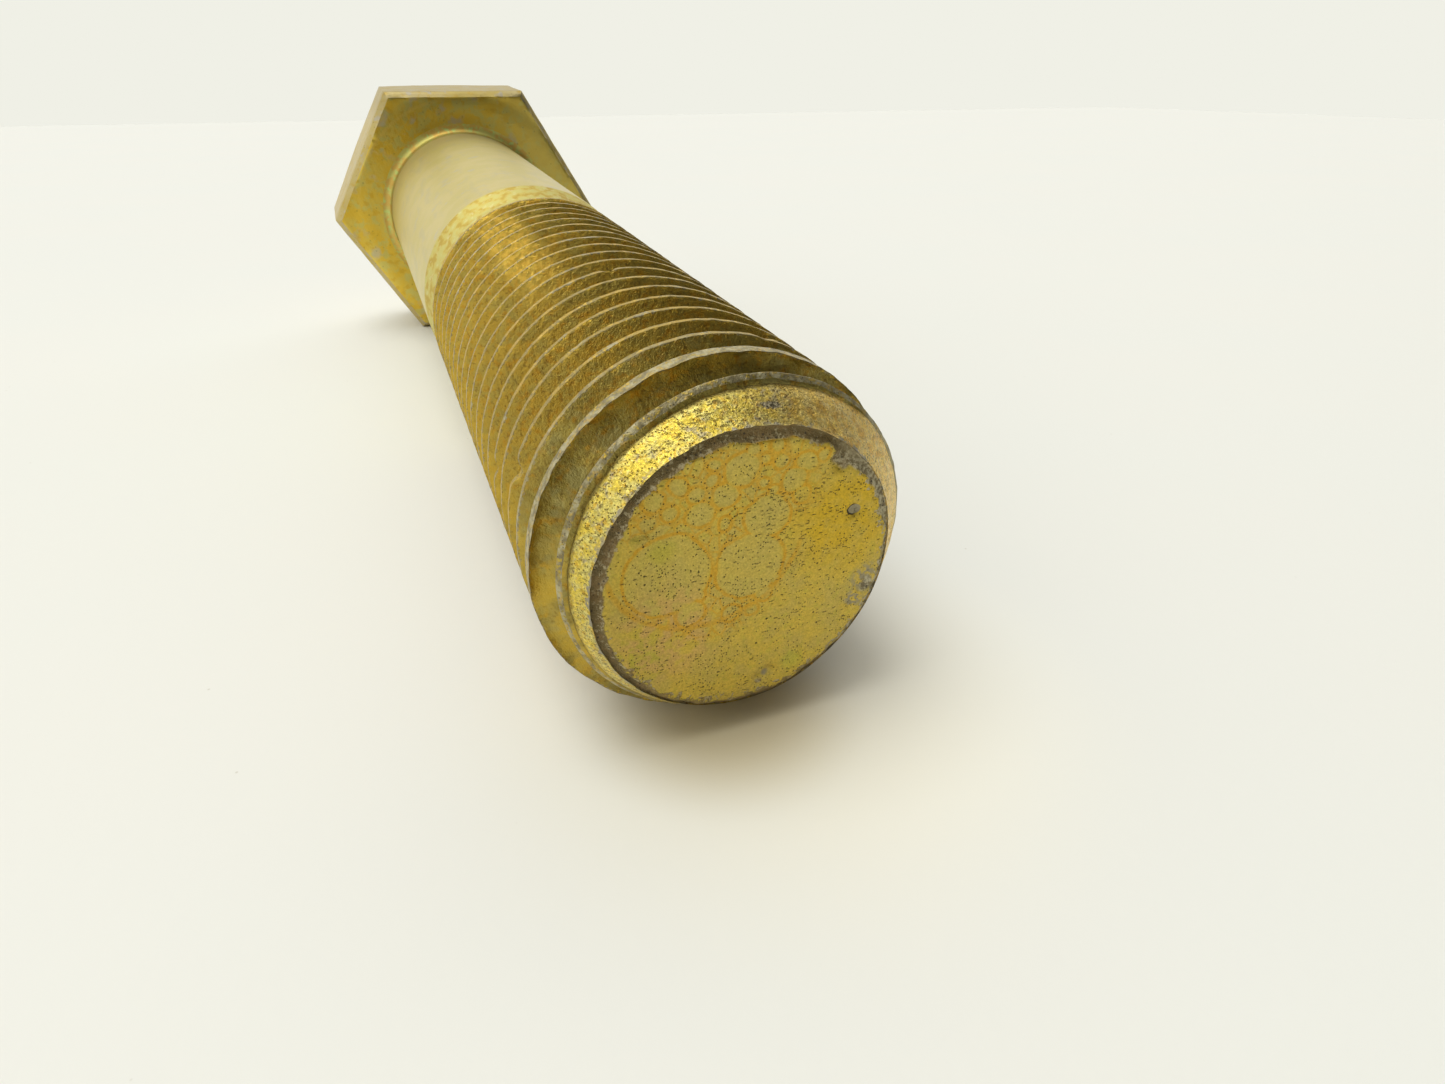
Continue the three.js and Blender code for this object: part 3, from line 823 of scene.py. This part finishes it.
def headFinish(name, rimTop):
    f = Finish(name)
    colour = f.mix(f.fade(f.noise(4.0, 4), 0.35, 0.65), head["pale"], head["gold"])
    colour = f.mix(f.fade(f.noise(1.5, 4), 0.52, 0.7, 0, 0.7), colour, head["brown"])
    colour = f.mix(f.fade(f.noise(2.6, 5), 0.58, 0.68, 0, 0.7), colour, head["grey"])
    colour = f.mix(f.sum("MULTIPLY", f.pits(0.5, 0.2, 0.3), 0.6), colour, head["specks"])
    if rimTop:
        flat = f.vector("MULTIPLY", f.place, (1, 0, 1))
        gap = f.sum("ABSOLUTE", f.sum("SUBTRACT", f.vector("LENGTH", flat), bolt["topRadius"]))
        line = f.fade(gap, 0.6, 0.1)
        colour = f.mix(f.sum("MULTIPLY", line, f.fade(f.noise(1.2, 3), 0.4, 0.6)), colour, zinc["bareSteel"])
    # Painted shade: the head is darker above z 20, over its upper flat.
    colour = f.scaled(colour, f.fade(f.z, 20, 26, 1.04, 0.86))
    height = f.sum("ADD", f.sum("MULTIPLY", f.noise(0.9, 4), 0.6), f.sum("MULTIPLY", f.noise(0.25, 2), 0.25))
    return f.shade(colour, 0.45, 0.72, height, 0.08)


# Put the bolt together.
hexBolt = bpy.data.objects.new("hexBolt", boltMesh())
bpy.context.scene.collection.objects.link(hexBolt)
finishes = [
    endFaceFinish(), coneFinish(), threadFinish(), shoulderFinish(), shankFinish(), filletFinish(),
    bearingFinish(), headFinish("zincHeadFlats", False), headFinish("zincHeadTop", True),
]
for finish in finishes:
    hexBolt.data.materials.append(finish)
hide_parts("hex_bolt")
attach(hexBolt, "root")
print("bolt finished")

# Floor, light and camera.
stage = {
    "tipContact": (8.0, 19.05),      # y and depth below the axis where the thread touches the floor
    "headContact": (179.0, 27.94),   # the same for the head's lower flat
    "clearance": 0.03,
    "floorSpan": (-1500, 1500, -400, 1500),   # x from and to, y from and to
    "floorColour": (0.786, 0.796, 0.750),
    "floorPatches": (0.80, 0.797, 0.745),
    "floorSpecks": (0.40, 0.36, 0.26),
    "bounceLightPlace": (7, 4, -19),
    "contactShadowPlace": (-1, 3, -19),
    "bounceLightColour": (0.91, 0.885, 0.757),   # painted warm bounce light on the board round the point
    "contactShadowColour": (0.62, 0.52, 0.29),
    "backdropColour": (0.871, 0.871, 0.791),
    "skyColour": (1.0, 0.99, 0.945),
    "skyStrength": 0.96,
    "shadeTowards": (0.677, -0.734, 0.048),   # the unlit side of the room
    "shadeLevel": 0.02,
    "shadeEdge": (0.22, 0.50),                # how the shade begins and ends, in the cosine from its middle
    "keyTowards": (-0.312, 0.109, 0.944),
    "keySpread": 42,
    "keyPower": 1.45,
    "keyColour": (1.0, 0.985, 0.94),
}


def addFloor():
    (tipY, tipDrop), (headY, headDrop) = stage["tipContact"], stage["headContact"]
    slope = (headDrop - tipDrop) / (headY - tipY)
    left, right, front, back = stage["floorSpan"]
    corners = []
    for x, y in ((left, front), (right, front), (right, back), (left, back)):
        corners.append(np.array((x, y, -tipDrop - stage["clearance"] - slope * (y - tipY))) * toMetres)
    mesh = bpy.data.meshes.new("floor")
    mesh.from_pydata(corners, [], [(0, 1, 2, 3)])
    floor = bpy.data.objects.new("floor", mesh)
    bpy.context.scene.collection.objects.link(floor)
    f = Finish("paleBoard")
    colour = f.mix(f.fade(f.noise(60.0, 2), 0.3, 0.7, 0, 0.5), stage["floorColour"], stage["floorPatches"])
    colour = f.mix(f.sum("MULTIPLY", f.pits(4.0, 0.12, 0.05), 0.35), colour, stage["floorSpecks"])
    # Painted light: a warmer, lighter patch of bounce light on the board round the point.
    bounceLight = f.fade(f.vector("DISTANCE", f.place, stage["bounceLightPlace"]), 40, 6, 0, 0.9)
    colour = f.mix(bounceLight, colour, stage["bounceLightColour"])
    # Painted shadow: a dark, warm contact shadow on the board right under the point.
    contactShadow = f.fade(f.vector("DISTANCE", f.place, stage["contactShadowPlace"]), 16, 4, 0, 0.7)
    colour = f.mix(contactShadow, colour, stage["contactShadowColour"])
    mesh.materials.append(f.shade(colour, 0.6, 0.0, f.noise(1.5, 3), 0.02))


# The sky is one pale tone all round, with a broad dim patch on the side that the light doesn't come from.
def addSky():
    world = bpy.data.worlds.new("studio")
    world.use_nodes = True
    tree = world.node_tree
    background = tree.nodes["Background"]
    direction = tree.nodes.new("ShaderNodeTexCoord")
    toward = tree.nodes.new("ShaderNodeVectorMath")
    toward.operation = "DOT_PRODUCT"
    toward.inputs[1].default_value = Vector(stage["shadeTowards"]).normalized()
    tree.links.new(direction.outputs["Generated"], toward.inputs[0])
    level = tree.nodes.new("ShaderNodeMapRange")
    level.interpolation_type = "SMOOTHSTEP"
    start, end = stage["shadeEdge"]
    for name, number in (("From Min", start), ("From Max", end), ("To Min", stage["skyStrength"]),
                         ("To Max", stage["shadeLevel"])):
        level.inputs[name].default_value = number
    tree.links.new(toward.outputs["Value"], level.inputs["Value"])
    background.inputs["Color"].default_value = (*stage["skyColour"], 1)
    tree.links.new(level.outputs[0], background.inputs["Strength"])
    seen = tree.nodes.new("ShaderNodeBackground")    # what stands behind the floor is an even pale tone
    seen.inputs["Color"].default_value = (*stage["backdropColour"], 1)
    choose = tree.nodes.new("ShaderNodeMixShader")
    tree.links.new(tree.nodes.new("ShaderNodeLightPath").outputs["Is Camera Ray"], choose.inputs[0])
    tree.links.new(background.outputs[0], choose.inputs[1])
    tree.links.new(seen.outputs[0], choose.inputs[2])
    tree.links.new(choose.outputs[0], tree.nodes["World Output"].inputs["Surface"])
    bpy.context.scene.world = world


# One broad lamp far overhead and a little to the left.
def addKeyLight():
    data = bpy.data.lights.new("keyLight", "SUN")
    data.angle = math.radians(stage["keySpread"])
    data.energy = stage["keyPower"]
    data.color = stage["keyColour"]
    light = bpy.data.objects.new("keyLight", data)
    light.location = stage["keyTowards"]
    light.rotation_euler = Vector(stage["keyTowards"]).to_track_quat("Z", "Y").to_euler()
    bpy.context.scene.collection.objects.link(light)


view = {
    "place": (-27.33, -58.43, 43.33),
    "right": (0.926, -0.3771, 0.018),
    "up": (0.1833, 0.4907, 0.8518),
    "lens": 21.10,
}


def addCamera():
    data = bpy.data.cameras.new("camera")
    data.lens = view["lens"]
    data.sensor_width = 36
    data.clip_start = 0.005
    camera = bpy.data.objects.new("camera", data)
    right = Vector(view["right"]).normalized()
    back = right.cross(Vector(view["up"])).normalized()
    up = back.cross(right)
    turn = Matrix((right, up, back)).transposed().to_4x4()
    camera.matrix_world = Matrix.Translation(Vector(view["place"]) * toMetres) @ turn
    bpy.context.scene.collection.objects.link(camera)
    bpy.context.scene.camera = camera


addFloor()
addSky()
addKeyLight()
addCamera()
bpy.context.scene.view_settings.view_transform = "Standard"
print("stage and camera ready")
